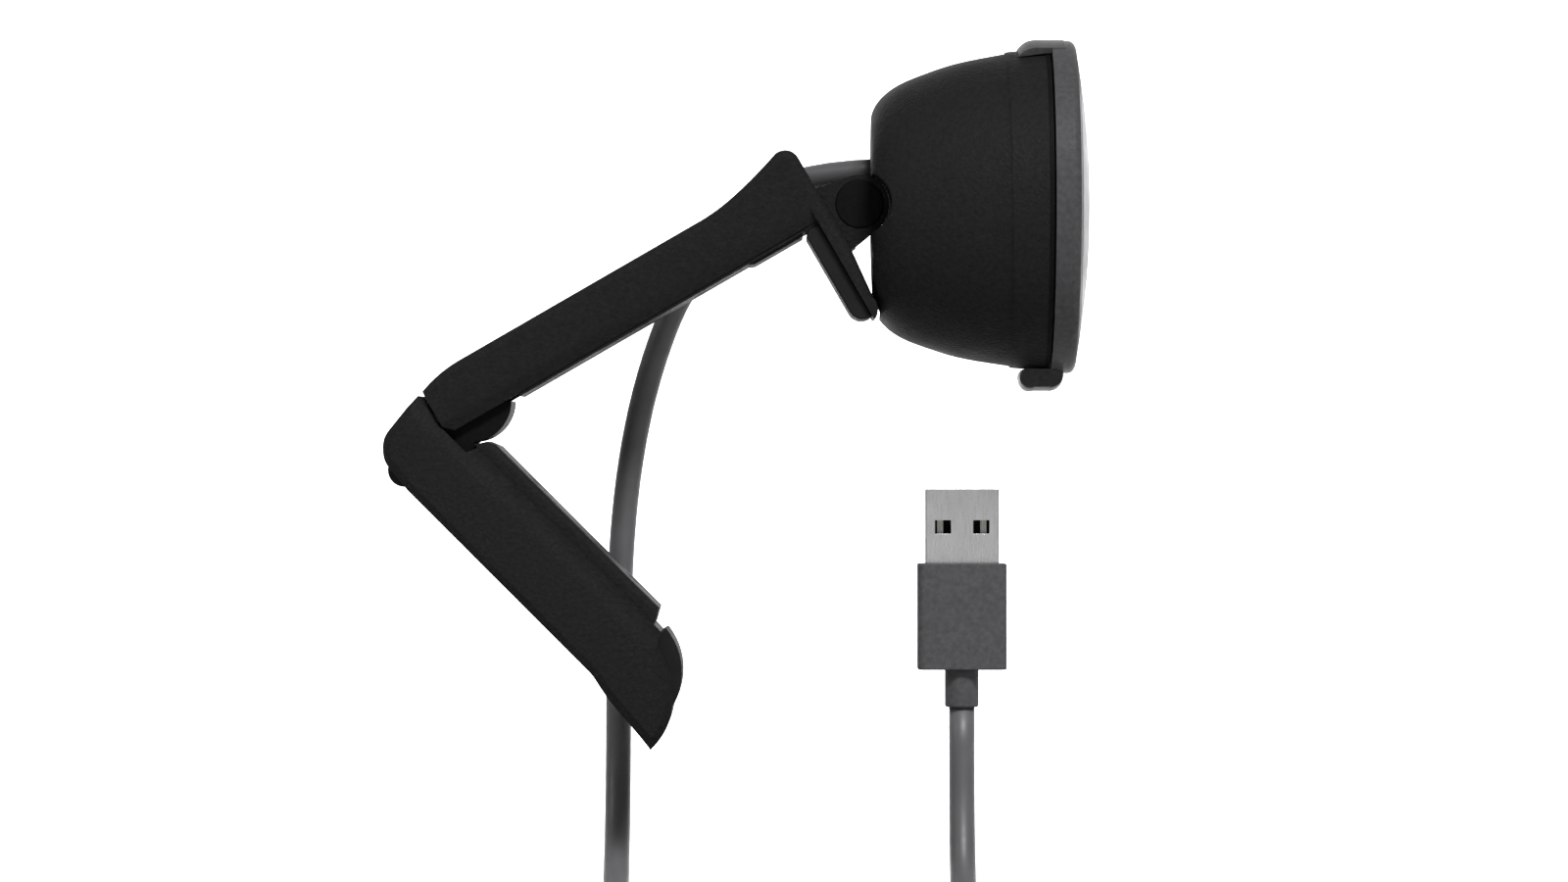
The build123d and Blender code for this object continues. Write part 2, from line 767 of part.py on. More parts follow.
with BuildPart() as lug_screws:
    with BuildSketch(face_plane(lug_plate_x + 1.2, tilt_axis[1])):
        with Locations((-4.6, 0), (4.6, 0)):
            Circle(screw_head_radius)
    extrude(amount=0.8)
    with BuildSketch(face_plane(lug_plate_x, tilt_axis[1])):
        with Locations((-4.6, 0), (4.6, 0)):
            Circle(screw_radius)
    extrude(amount=1.3)
save(lug_screws.part, "lug_screws")

# ---- seat: carries the turning ring and closes the housing ----
plate_back = 44.4
plate_front = 45.4
spigot_front = 44.9
spigot_radius = 23.2
peg_radius = 19.8
blade_pivot = 13.0
ring_turn = 20.0
blade_ratio = 2.8
flange_radius = 25.9
flange_drop = 0.3  # the flange sits on the housing's mouth, which is a little lower than the lens
seat_head_x = 42.25
seat_head_radius = 1.3
mic_spot = (0.0, -11.0)
light_spot = (14.0, 0.0)
with BuildPart() as seat:
    with BuildSketch(face_plane(40.0)):
        Circle(23.75)
        Circle(18.0, mode=Mode.SUBTRACT)
    extrude(amount=rim_x - 40.0)
    with BuildSketch(face_plane(rim_x)):
        with Locations((0, -flange_drop)):
            Circle(flange_radius)
        Circle(18.0, mode=Mode.SUBTRACT)
    extrude(amount=0.7)
    with BuildSketch(face_plane(rim_x + 0.7)):
        Circle(spigot_radius)
        Circle(21.5, mode=Mode.SUBTRACT)
    extrude(amount=spigot_front - rim_x - 0.7)
    with BuildSketch(face_plane(plate_back)):
        Circle(21.5)
        Circle(5.3, mode=Mode.SUBTRACT)
    extrude(amount=plate_front - plate_back)
    # posts behind the plate for the circuit board
    with BuildSketch(face_plane(board_x + board_thickness)):
        with Locations(*ring_points(post_radius, post_angles)):
            Circle(1.9)
    extrude(amount=plate_back - board_x - board_thickness)
    with BuildSketch(face_plane(board_x + board_thickness)):
        with Locations(*ring_points(post_radius, post_angles)):
            Circle(screw_radius)
    extrude(amount=5.0, mode=Mode.SUBTRACT)
    # screw holes in the flange, with wells for their heads
    with BuildSketch(face_plane(40.0)):
        with Locations(*ring_points(seat_screw_radius, seat_screw_angles)):
            Circle(screw_radius)
    extrude(amount=3.2, mode=Mode.SUBTRACT)
    with BuildSketch(face_plane(seat_head_x)):
        with Locations(*ring_points(seat_screw_radius, seat_screw_angles)):
            Circle(seat_head_radius + 0.1)
    extrude(amount=plate_front - seat_head_x, mode=Mode.SUBTRACT)
    # window in the spigot and slot in the plate where the ring's drive tongue travels
    with BuildSketch(face_plane(43.35)):
        with BuildLine():
            Line((0, 0), ring_points(26.0, [115])[0])
            ThreePointArc(*ring_points(26.0, [115, 90, 65]))
            Line(ring_points(26.0, [65])[0], (0, 0))
        make_face()
        Circle(17.5, mode=Mode.SUBTRACT)
    extrude(amount=plate_front - 43.35, mode=Mode.SUBTRACT)
    # pivot post of the shutter blade
    with BuildSketch(face_plane(plate_front)):
        with Locations((0, blade_pivot)):
            Circle(1.2)
    extrude(amount=1.4)
    # ports for the microphone and the light
    with BuildSketch(face_plane(plate_back)):
        with Locations(mic_spot, light_spot):
            Circle(1.7)
    extrude(amount=1.0, mode=Mode.SUBTRACT)
save(seat.part, "ring_seat")

with BuildPart() as seat_screws:
    with BuildSketch(face_plane(34.0)):
        with Locations(*ring_points(seat_screw_radius, seat_screw_angles)):
            Circle(screw_radius)
    extrude(amount=seat_head_x - 34.0)
    with BuildSketch(face_plane(seat_head_x)):
        with Locations(*ring_points(seat_screw_radius, seat_screw_angles)):
            Circle(seat_head_radius)
    extrude(amount=0.8)
save(seat_screws.part, "seat_screws")

# ---- turning ring with its two finger tabs ----
dome_radius = 141.0
dome_crown = head_front


def dome_x(radius):
    """Where the domed front lies at this distance from the lens axis."""
    return dome_crown - dome_radius + math.sqrt(dome_radius**2 - radius**2)


ring_back = rim_x + 0.7 + 0.25
ring_bore = spigot_radius + 0.1
ring_mouth = 23.9
corner = 1.3
lens_axis = Axis((head_back, 0, ring_height), (1, 0, 0))
ring_side = side_plane(0.0, (0.0, ring_height))
top_tab_half_angle = 21.0
bottom_tab_half_angle = 12.0
tab_back = 38.1
tab_front = 45.6
with BuildPart() as ring:
    with BuildSketch(ring_side):
        with BuildLine():
            Polyline(
                (dome_x(ring_mouth), ring_mouth),
                (44.8, ring_mouth),
                (44.8, ring_bore),
                (ring_back, ring_bore),
                (ring_back, ring_radius),
                (dome_x(ring_radius) - corner, ring_radius),
            )
            RadiusArc(
                (dome_x(ring_radius) - corner, ring_radius),
                (dome_x(ring_radius - corner), ring_radius - corner),
                corner,
            )
            Line((dome_x(ring_radius - corner), ring_radius - corner), (dome_x(ring_mouth), ring_mouth))
        make_face()
    revolve(axis=lens_axis)
    # top tab: a hood that follows the ring and reaches back over the housing
    with BuildSketch(radial_plane(top_tab_half_angle)):
        with BuildLine():
            Polyline((tab_back, 25.2), (rim_x, 25.8), (tab_front, 25.8), (tab_front, 26.8), (tab_back + 2.9, 26.8))
            ThreePointArc((tab_back + 2.9, 26.8), (tab_back + 1.1, 26.3), (tab_back, 25.2))
        make_face()
    revolve(axis=lens_axis, revolution_arc=2 * top_tab_half_angle)
    # bottom tab: a thicker rounded pill
    with BuildSketch(radial_plane(180 + bottom_tab_half_angle)):
        with BuildLine():
            Line((tab_back + 1.1, 26.5), (tab_front - 0.4, 26.5))
            ThreePointArc((tab_front - 0.4, 26.5), (tab_front - 0.5, 28.5), (tab_front - 2.6, 29.5))
            Line((tab_front - 2.6, 29.5), (tab_back + 2.6, 29.5))
            ThreePointArc((tab_back + 2.6, 29.5), (tab_back + 0.4, 28.5), (tab_back + 1.1, 26.5))
        make_face()
    revolve(axis=lens_axis, revolution_arc=2 * bottom_tab_half_angle)
    # tongue and peg that drive the shutter blade
    with BuildSketch(face_plane(43.5)):
        with Locations(ring_points((ring_bore + 18.8) / 2 + 0.1, [90 - ring_turn / 2])[0]):
            Rectangle(3.0, ring_bore - 18.8 + 0.4, rotation=-ring_turn / 2)
    extrude(amount=0.7)
    with BuildSketch(face_plane(43.5)):
        with Locations(ring_points(peg_radius, [90 - ring_turn / 2])[0]):
            Circle(0.7)
    extrude(amount=3.1)
save(ring.part, "shutter_ring")

# ---- shutter blade ----
blade_back = 45.95
blade_radius = 6.0
blade_tail = 8.0
tail_angle = math.degrees(
    math.atan2(
        peg_radius * math.sin(math.radians(ring_turn / 2)),
        peg_radius * math.cos(math.radians(ring_turn / 2)) - blade_pivot,
    )
)
blade_swing = ring_turn * blade_ratio
disc_angle = 180.0 + blade_swing


def from_pivot(distance, angle):
    """A point this far from the blade's pivot, the angle counted from the top towards the far side."""
    return (
        distance * math.sin(math.radians(angle)),
        blade_pivot + distance * math.cos(math.radians(angle)),
    )


with BuildPart() as blade:
    with BuildSketch(face_plane(blade_back)):
        with Locations(from_pivot(blade_pivot, disc_angle)):
            Circle(blade_radius)
        with Locations((0, blade_pivot)):
            Circle(2.6)
        with Locations(from_pivot(blade_pivot / 2, disc_angle)):
            Rectangle(4.0, blade_pivot, rotation=-disc_angle)
        with Locations(from_pivot(blade_tail / 2, tail_angle)):
            Rectangle(4.0, blade_tail, rotation=-tail_angle)
        with Locations(from_pivot(7.8, tail_angle)):
            SlotOverall(5.0, 2.0, rotation=90 - tail_angle, mode=Mode.SUBTRACT)
        with Locations((0, blade_pivot)):
            Circle(1.25, mode=Mode.SUBTRACT)
    extrude(amount=0.5)
save(blade.part, "shutter_blade")

# ---- domed front and the window in it ----
bezel_radius = 23.6
window_radius = 9.0
bezel_floor = 46.9
with BuildPart() as bezel:
    with BuildSketch(ring_side):
        with BuildLine():
            Polyline(
                (dome_crown, 0.0),
                (bezel_floor, 0.0),
                (bezel_floor, 21.6),
                (spigot_front, 21.6),
                (spigot_front, bezel_radius),
                (dome_x(bezel_radius), bezel_radius),
            )
            ThreePointArc(
                (dome_x(bezel_radius), bezel_radius),
                (dome_x(bezel_radius / 2), bezel_radius / 2),
                (dome_crown, 0.0),
            )
        make_face()
    revolve(axis=lens_axis)
    with BuildSketch(face_plane(47.5)):
        Circle(window_radius + 0.05)
    extrude(amount=4.0, mode=Mode.SUBTRACT)
    with BuildSketch(face_plane(46.0)):
        Circle(7.5)
        with Locations(mic_spot):
            Circle(0.6)
        with Locations(light_spot):
            Circle(1.15)
    extrude(amount=5.0, mode=Mode.SUBTRACT)
save(bezel.part, "front_bezel")

with BuildPart() as window:
    with BuildSketch(face_plane(47.5)):
        Circle(window_radius)
    extrude(amount=1.85)
    fillet(window.edges().filter_by(GeomType.CIRCLE).sort_by(Axis.X)[-1], 0.3)
save(window.part, "lens_window")

# ---- camera module: circuit board, sensor, lens holder, barrel and lenses ----
board_front = board_x + board_thickness
board_radius = 17.4
with BuildPart() as board:
    with BuildSketch(face_plane(board_x)):
        Circle(board_radius)
        with Locations(*ring_points(post_radius, post_angles)):
            Circle(1.0, mode=Mode.SUBTRACT)
    extrude(amount=board_thickness)
save(board.part, "camera_board")

with BuildPart() as board_screws:
    with BuildSketch(face_plane(board_x - 2.8)):
        with Locations(*ring_points(post_radius, post_angles)):
            Circle(screw_head_radius)
    extrude(amount=0.8)
    with BuildSketch(face_plane(board_x - 2.0)):
        with Locations(*ring_points(post_radius, post_angles)):
            Circle(screw_radius)
    extrude(amount=2.0 + board_thickness + 4.8)
save(board_screws.part, "board_screws")

with BuildPart() as spreader:
    with BuildSketch(face_plane(board_x - 2.0)):
        Circle(17.0)
        with Locations((4.0, 6.0)):
            Rectangle(14.0, 9.0, mode=Mode.SUBTRACT)
        with Locations(*ring_points(post_radius, post_angles)):
            Circle(1.0, mode=Mode.SUBTRACT)
    extrude(amount=1.0)
    with BuildSketch(face_plane(board_x - 1.0)):
        with Locations(*ring_points(post_radius, post_angles)):
            Circle(1.7)
            Circle(1.0, mode=Mode.SUBTRACT)
    extrude(amount=1.0)
save(spreader.part, "heat_spreader")

with BuildPart() as processor:
    with BuildSketch(face_plane(board_x - 1.0)):
        with Locations((-2.0, -4.5)):
            Rectangle(8.0, 8.0)
    extrude(amount=1.0)
save(processor.part, "video_processor")

with BuildPart() as sensor:
    with BuildSketch(face_plane(board_front)):
        Rectangle(6.0, 5.0)
    extrude(amount=0.9)
save(sensor.part, "image_sensor")

holder_bore = 5.0
holder_front = 42.0
with BuildPart() as holder:
    with BuildSketch(face_plane(board_front)):
        Rectangle(17.0, 17.0)
        Circle(holder_bore, mode=Mode.SUBTRACT)
    extrude(amount=1.6)
    with BuildSketch(face_plane(board_front + 1.6)):
        Circle(7.0)
        Circle(holder_bore, mode=Mode.SUBTRACT)
    extrude(amount=holder_front - board_front - 1.6)
save(holder.part, "lens_holder")

with BuildPart() as infrared_filter:
    with BuildSketch(face_plane(34.0)):
        Circle(holder_bore)
    extrude(amount=0.4)
save(infrared_filter.part, "infrared_filter")

barrel_bore = 4.0
lens_radius = barrel_bore - 0.02
barrel_back = 36.0
with BuildPart() as barrel:
    with BuildSketch(face_plane(barrel_back)):
        Circle(holder_bore)
        Circle(barrel_bore, mode=Mode.SUBTRACT)
    extrude(amount=plate_front - barrel_back)
    fillet(barrel.edges().filter_by(GeomType.CIRCLE).sort_by(Axis.X)[-2:], 0.3)
save(barrel.part, "lens_barrel")


def lens_face(edge, bulge):
    """A lens face from the rim to the axis, bulging along the axis by this much at the middle."""
    curvature = (lens_radius**2 + bulge**2) / (2 * abs(bulge))
    half_way = curvature - math.sqrt(curvature**2 - (lens_radius / 2) ** 2)
    middle = edge + bulge - math.copysign(half_way, bulge)
    return ThreePointArc((edge, lens_radius), (middle, lens_radius / 2), (edge + bulge, 0))


def lens(back, front, back_bulge, front_bulge, name):
    """A round lens filling the barrel's bore, its two faces bulging by these amounts at the middle."""
    with BuildPart() as element:
        with BuildSketch(ring_side):
            with BuildLine():
                lens_face(back, -back_bulge)
                lens_face(front, front_bulge)
                Line((back, lens_radius), (front, lens_radius))
                Line((back - back_bulge, 0), (front + front_bulge, 0))
            make_face()
        revolve(axis=lens_axis)
    save(element.part, name)


lens(37.2, 38.4, 0.6, 0.5, "lens_rear")
lens(39.8, 40.8, -0.3, -0.25, "lens_middle")
lens(42.6, 43.8, -0.4, 0.9, "lens_front")

with BuildPart() as microphone:
    with BuildSketch(face_plane(board_front)):
        with Locations(mic_spot):
            Rectangle(3.8, 3.0)
    extrude(amount=1.0)
save(microphone.part, "microphone")

with BuildPart() as mic_tube:
    with BuildSketch(face_plane(board_front + 1.0)):
        with Locations(mic_spot):
            Circle(1.5)
            Circle(0.6, mode=Mode.SUBTRACT)
    extrude(amount=bezel_floor - board_front - 1.0)
save(mic_tube.part, "microphone_tube")

with BuildPart() as light_pipe:
    with BuildSketch(face_plane(board_front + 0.8)):
        with Locations(light_spot):
            Circle(1.1)
    extrude(amount=dome_x(light_spot[0]) - 0.1 - board_front - 0.8)
save(light_pipe.part, "light_pipe")

with BuildPart() as indicator:
    with BuildSketch(face_plane(board_front)):
        with Locations(light_spot):
            Rectangle(1.6, 0.9)
    extrude(amount=0.8)
save(indicator.part, "indicator_light")

# ---- grommet, inner lead and its connector ----
grommet_length = 5.4
stub_depth = 2.0
inner_lead_radius = 1.2
with BuildPart() as grommet:
    with BuildSketch(exit_plane(grommet_length)):
        Circle(grommet_radius)
    extrude(amount=grommet_length + 3.0)
    with BuildSketch(face_plane(head_back)):
        Circle(beyond)
    extrude(amount=-10.0, mode=Mode.SUBTRACT)
    with BuildSketch(exit_plane(stub_depth)):
        Circle(cord_radius)
    extrude(amount=stub_depth + 6.0, mode=Mode.SUBTRACT)
    with BuildSketch(exit_plane(grommet_length)):
        Circle(inner_lead_radius)
    extrude(amount=grommet_length, mode=Mode.SUBTRACT)
    with BuildSketch(level):
        with Locations(tilt_axis):
            Circle(groove_radius)
    extrude(amount=30.0, both=True, mode=Mode.SUBTRACT)
save(grommet.part, "cable_grommet")

connector_depth = 3.5
connector_back = board_x - connector_depth
lead_end_depth = (connector_back - head_back) / math.cos(math.radians(exit_splay))
connector_side = exit_side - (connector_back - head_back) * math.tan(math.radians(exit_splay))
with BuildPart() as inner_lead:
    with BuildSketch(exit_plane(lead_end_depth + 1.0)):
        Circle(inner_lead_radius)
    extrude(amount=lead_end_depth + 1.0 - stub_depth)
    with BuildSketch(face_plane(connector_back)):
        Circle(beyond)
    extrude(amount=5.0, mode=Mode.SUBTRACT)
save(inner_lead.part, "inner_lead")

with BuildPart() as connector:
    with BuildSketch(face_plane(connector_back, exit_height)):
        with Locations((connector_side, 0)):
            Rectangle(7.0, 4.0)
    extrude(amount=connector_depth)
save(connector.part, "lead_connector")

# ================= cord and plug =================


def corner_radii(points):
    """Bend radius for each corner of a route: as wide as the shorter of its two runs allows."""
    radii = []
    for before, here, after in zip(points, points[1:], points[2:]):
        first = Vector(*here) - Vector(*before)
        second = Vector(*after) - Vector(*here)
        half_turn = math.radians(first.get_angle(second)) / 2
        radii.append(0.45 * min(first.length, second.length) / math.tan(half_turn))
    print("bend radii", [round(r, 1) for r in radii])
    return radii


def cord(points, name):
    """A round cord along straight runs joined by tangent arcs."""
    with BuildPart() as run:
        with BuildLine():
            FilletPolyline(*points, radius=corner_radii(points))
        start = Plane(origin=points[0], z_dir=Vector(*points[1]) - Vector(*points[0]))
        with BuildSketch(start):
            Circle(cord_radius)
        sweep()
    save(run.part, name)
    print(name, "volume", round(run.part.volume), "mm3")


cord_start = (exit_plane(stub_depth).origin.X, exit_plane(stub_depth).origin.Y, exit_height)
turn_x = 3.0
cord_turn = (turn_x, exit_side + (head_back - turn_x) * math.tan(math.radians(exit_splay)), exit_height)
cord_joint = (-13.2, cord_side, -2.0)
coil_top = -105.2
coil_outer = 30.0
bundle = 12.6
desk_level = coil_top - bundle
turn_height = coil_top - cord_radius

drop_slant = 20.3
cord([cord_start, cord_turn, (-8.4, cord_side, 5.6), cord_joint], "cord_lead")
cord(
    [
        cord_joint,
        (-18.0, cord_side, -9.6),
        (-22.9, cord_side, -25.0),
        (-25.6, cord_side, -43.0),
        (drop_x, cord_side, -62.0),
        (drop_x, cord_side, turn_height + drop_slant),
        (drop_x, cord_side - drop_slant, turn_height),
        (drop_x, coil_centre[1], turn_height),
    ],
    "cord_drop",
)

# ---- the rest of the cord, wound into a flat coil on the desk ----
with BuildPart() as coil:
    with BuildSketch(Plane(origin=(coil_centre[0], coil_centre[1], 0), x_dir=(1, 0, 0), z_dir=(0, -1, 0))):
        with Locations((coil_outer - bundle / 2, desk_level + bundle / 2)):
            RectangleRounded(bundle, bundle, 3.0)
    revolve(axis=Axis((coil_centre[0], coil_centre[1], 0), (0, 0, 1)))
save(coil.part, "cord_coil")

strap_margin = 1.0
strap_width = 12.0
with BuildPart() as strap:
    with BuildSketch(Plane.YZ.offset(coil_centre[0] - strap_width / 2)):
        with Locations((coil_centre[1] - coil_outer + bundle / 2, desk_level + bundle / 2)):
            RectangleRounded(bundle + 2 * strap_margin, bundle + 2 * strap_margin, 3.8)
            RectangleRounded(bundle - 0.6, bundle - 0.6, 2.6, mode=Mode.SUBTRACT)
    extrude(amount=strap_width)
save(strap.part, "cable_strap")

# ---- tail and plug ----
plug_x = 29.6
tail_run = 20.0
tail_slant = 14.1
plug_y = coil_centre[1] + tail_run + tail_slant
relief_base = -73.4
body_base = -67.3
body_top = -50.1
shell_top = -38.1
body_width = 14.4
body_depth = 8.0
shell_width = 12.0
shell_depth = 4.5
shell_wall = 0.3
relief_radius = 2.75

cord(
    [
        (plug_x, coil_centre[1], turn_height),
        (plug_x, coil_centre[1] + tail_run, turn_height),
        (plug_x, plug_y, turn_height + tail_slant),
        (plug_x, plug_y, relief_base),
    ],
    "cord_tail",
)

with BuildPart() as relief:
    with BuildSketch(Plane.XY.offset(relief_base)):
        with Locations((plug_x, plug_y)):
            Circle(relief_radius)
    extrude(amount=body_base - relief_base)
    fillet(relief.edges().filter_by(GeomType.CIRCLE).sort_by(Axis.Z)[0], 0.4)
save(relief.part, "plug_strain_relief")

with BuildPart() as plug:
    with BuildSketch(Plane.XY.offset(body_base)):
        with Locations((plug_x, plug_y)):
            RectangleRounded(body_width, body_depth, 1.2)
    extrude(amount=body_top - body_base)
    fillet(plug.edges().group_by(Axis.Z)[0] + plug.edges().group_by(Axis.Z)[-1], 0.3)
    with BuildSketch(Plane.XY.offset(body_top - 3.0)):
        with Locations((plug_x, plug_y)):
            Rectangle(shell_width, shell_depth)
    extrude(amount=4.0, mode=Mode.SUBTRACT)
save(plug.part, "plug_body")

with BuildPart() as shell:
    with BuildSketch(Plane.XY.offset(body_top - 3.0)):
        with Locations((plug_x, plug_y)):
            RectangleRounded(shell_width, shell_depth, 0.4)
            Rectangle(shell_width - 2 * shell_wall, shell_depth - 2 * shell_wall, mode=Mode.SUBTRACT)
    extrude(amount=shell_top - body_top + 3.0)
    with BuildSketch(Plane.XZ.offset(-plug_y)):
        with Locations((plug_x - 3.1, shell_top - 6.1), (plug_x + 3.1, shell_top - 6.1)):
            Rectangle(2.6, 2.2)
    extrude(amount=shell_depth, both=True, mode=Mode.SUBTRACT)
save(shell.part, "plug_shell")

tongue_thickness = 1.8
with BuildPart() as tongue:
    with BuildSketch(Plane.XY.offset(body_top - 3.0)):
        with Locations((plug_x, plug_y + 0.9)):
            Rectangle(shell_width - 2 * shell_wall - 0.1, tongue_thickness)
    extrude(amount=shell_top - body_top + 3.0 - 0.7)
save(tongue.part, "plug_tongue")

with BuildPart() as contacts:
    with BuildSketch(Plane.XY.offset(body_top - 2.0)):
        for column in (-3.5, -1.0, 1.0, 3.5):
            with Locations((plug_x + column, plug_y + 0.9 - tongue_thickness / 2 - 0.1)):
                Rectangle(1.0, 0.2)
    extrude(amount=shell_top - body_top + 2.0 - 1.6)
save(contacts.part, "plug_contacts")
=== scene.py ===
"""Looks for the clip-on webcam. Metres, in the frame's axes: +X is the way the lens looks, +Z is up."""

import json
import math

import bmesh
import bpy
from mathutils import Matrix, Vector


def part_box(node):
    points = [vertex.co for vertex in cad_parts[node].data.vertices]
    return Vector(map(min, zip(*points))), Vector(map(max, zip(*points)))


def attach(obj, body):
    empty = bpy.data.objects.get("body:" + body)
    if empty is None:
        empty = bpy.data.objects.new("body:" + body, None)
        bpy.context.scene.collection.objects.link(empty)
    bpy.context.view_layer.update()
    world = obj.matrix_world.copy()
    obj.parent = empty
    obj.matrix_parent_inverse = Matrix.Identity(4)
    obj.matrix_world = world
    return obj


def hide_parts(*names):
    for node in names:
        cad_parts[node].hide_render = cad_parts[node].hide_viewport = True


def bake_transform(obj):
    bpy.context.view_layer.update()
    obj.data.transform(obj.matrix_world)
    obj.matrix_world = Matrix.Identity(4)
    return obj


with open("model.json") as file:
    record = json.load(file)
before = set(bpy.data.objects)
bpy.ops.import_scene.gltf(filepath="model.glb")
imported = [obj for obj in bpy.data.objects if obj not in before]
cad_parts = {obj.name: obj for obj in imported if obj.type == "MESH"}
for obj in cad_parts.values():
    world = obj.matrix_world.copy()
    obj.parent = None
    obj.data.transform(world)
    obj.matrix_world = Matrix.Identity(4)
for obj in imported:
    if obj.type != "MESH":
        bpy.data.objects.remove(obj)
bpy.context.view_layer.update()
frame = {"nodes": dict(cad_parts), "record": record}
MM = 0.001


# ---------------------------------------------------------------- places read from the frame

coil_low, coil_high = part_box("cord_coil")
coil_centre = (coil_low + coil_high) / 2
coil_outer = (coil_high.x - coil_low.x) / 2
desk_level = coil_low.z


# ---------------------------------------------------------------- camera

CAMERA_DISTANCE = 1.0
VIEW_MIDDLE_X = 0.8 * MM
VIEW_MIDDLE_Z = -30.3 * MM
SENSOR_WIDTH = 36.0  # of the camera, in its own millimetres
FOCAL_LENGTH = 143.1


def make_camera():
    """Square on to the side of the webcam, as the photograph shows it."""
    data = bpy.data.cameras.new("camera")
    data.sensor_width = SENSOR_WIDTH
    data.lens = FOCAL_LENGTH
    camera = bpy.data.objects.new("camera", data)
    camera.location = (VIEW_MIDDLE_X, -CAMERA_DISTANCE, VIEW_MIDDLE_Z)
    camera.rotation_euler = (math.radians(90), 0, 0)
    bpy.context.scene.collection.objects.link(camera)
    bpy.context.scene.camera = camera


make_camera()


# ---------------------------------------------------------------- the cord

CORD_DIAMETER = 4.2 * MM
CORD_SIDES = 20
TURNS = 8.5
POINTS_A_TURN = 16
SHIFT_START = 0.66  # how far round a turn it begins to move to its next slot
OUTER_COLUMN = 2
LINE_RESOLUTION = 6
# the turns fill the bundle in this order: (column outwards, layer upwards)
TURN_SLOTS = [(2, 2), (1, 2), (0, 2), (0, 1), (0, 0), (1, 0), (1, 1), (2, 0), (2, 1)]

# from the head down to the coil in millimetres, the same route as the CAD tube
HANGING_ROUTE = [
    (16.51, 8.59, 13.3),
    (3.0, 15.48, 13.3),
    (-8.4, 17.0, 5.6),
    (-13.2, 17.0, -2.0),
    (-18.0, 17.0, -9.6),
    (-22.9, 17.0, -25.0),
    (-25.6, 17.0, -43.0),
    (-26.2, 17.0, -62.0),
    (-26.2, 17.0, -87.0),
    (-26.2, -3.3, -107.3),
]
# from the coil up to the plug
TAIL_ROUTE = [
    (29.6, -4.0, -107.3),
    (29.6, 10.1, -93.2),
    (29.6, 10.1, -73.4),
]


def ease(value):
    """0 below 0, 1 above 1, and a smooth rise between."""
    t = min(max(value, 0.0), 1.0)
    return t * t * (3 - 2 * t)


def coil_points():
    """Control points of the coil's turns, each turn shifting to its next slot over its last third."""
    points = []
    outer_line = coil_outer - CORD_DIAMETER / 2
    for step in range(round(TURNS * POINTS_A_TURN) + 1):
        turn = step / POINTS_A_TURN
        here = TURN_SLOTS[int(turn)]
        after = TURN_SLOTS[min(int(turn) + 1, len(TURN_SLOTS) - 1)]
        shift = ease((turn % 1 - SHIFT_START) / (1 - SHIFT_START))
        column = here[0] + (after[0] - here[0]) * shift
        layer = here[1] + (after[1] - here[1]) * shift
        radius = outer_line - (OUTER_COLUMN - column) * CORD_DIAMETER
        height = coil_low.z + CORD_DIAMETER * (layer + 0.5)
        angle = math.pi + turn * 2 * math.pi
        points.append(coil_centre + Vector((radius * math.cos(angle), radius * math.sin(angle), 0)))
        points[-1].z = height
    return points


def smooth_line(name, points, resolution):
    """Points along the NURBS curve that these control points pull."""
    curve = bpy.data.curves.new(name, "CURVE")
    curve.dimensions = "3D"
    curve.resolution_u = resolution
    spline = curve.splines.new("NURBS")
    spline.points.add(len(points) - 1)
    for item, point in zip(spline.points, points):
        item.co = (*point, 1.0)
    spline.order_u = 3
    spline.use_endpoint_u = True
    holder = bpy.data.objects.new(name, curve)
    bpy.context.scene.collection.objects.link(holder)
    mesh = bpy.data.meshes.new_from_object(holder)
    line = [vertex.co.copy() for vertex in mesh.vertices]
    bpy.data.objects.remove(holder)
    bpy.data.meshes.remove(mesh)
    return line


def tube(name, line, radius, sides):
    """A closed round tube along a line of points, its cross-section carried along without twist."""
    tangents = []
    for index in range(len(line)):
        before = line[max(index - 1, 0)]
        after = line[min(index + 1, len(line) - 1)]
        tangents.append((after - before).normalized())
    side = tangents[0].orthogonal().normalized()
    mesh = bmesh.new()
    rings = []
    for point, tangent in zip(line, tangents):
        side = (side - tangent * side.dot(tangent)).normalized()
        other = tangent.cross(side)
        ring = []
        for index in range(sides):
            angle = 2 * math.pi * index / sides
            offset = side * math.cos(angle) + other * math.sin(angle)
            ring.append(mesh.verts.new(point + offset * radius))
        rings.append(ring)
    for first, second in zip(rings, rings[1:]):
        for index in range(sides):
            following = (index + 1) % sides
            mesh.faces.new((first[index], first[following], second[following], second[index]))
    mesh.faces.new(list(reversed(rings[0])))
    mesh.faces.new(rings[-1])
    return finish_mesh(mesh, name)


def finish_mesh(mesh, name):
    """Turns a bmesh into a smoothly shaded object in the scene."""
    bmesh.ops.recalc_face_normals(mesh, faces=mesh.faces)
    for face in mesh.faces:
        face.smooth = True
    data = bpy.data.meshes.new(name)
    mesh.to_mesh(data)
    mesh.free()
    piece = bpy.data.objects.new(name, data)
    bpy.context.scene.collection.objects.link(piece)
    return piece


def make_cord():
    """The whole cord from the head to the plug, and the line it follows."""
    hanging = [Vector(point) * MM for point in HANGING_ROUTE]
    tail = [Vector(point) * MM for point in TAIL_ROUTE]
    line = smooth_line("cord_line", hanging + coil_points() + tail, LINE_RESOLUTION)
    cord = tube("cord", line, CORD_DIAMETER / 2, CORD_SIDES)
    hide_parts("cord_lead", "cord_drop", "cord_coil", "cord_tail")
    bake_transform(cord)
    return cord, line


cord, cord_line = make_cord()


# ---------------------------------------------------------------- the strap round the coil

TAPE = 0.9 * MM
TAPE_CORNER = 3.0 * MM
TAPE_EDGE = 0.25 * MM  # rounding of the tape's edges, and how far they stay inside the CAD strap
CORNER_STEPS = 6


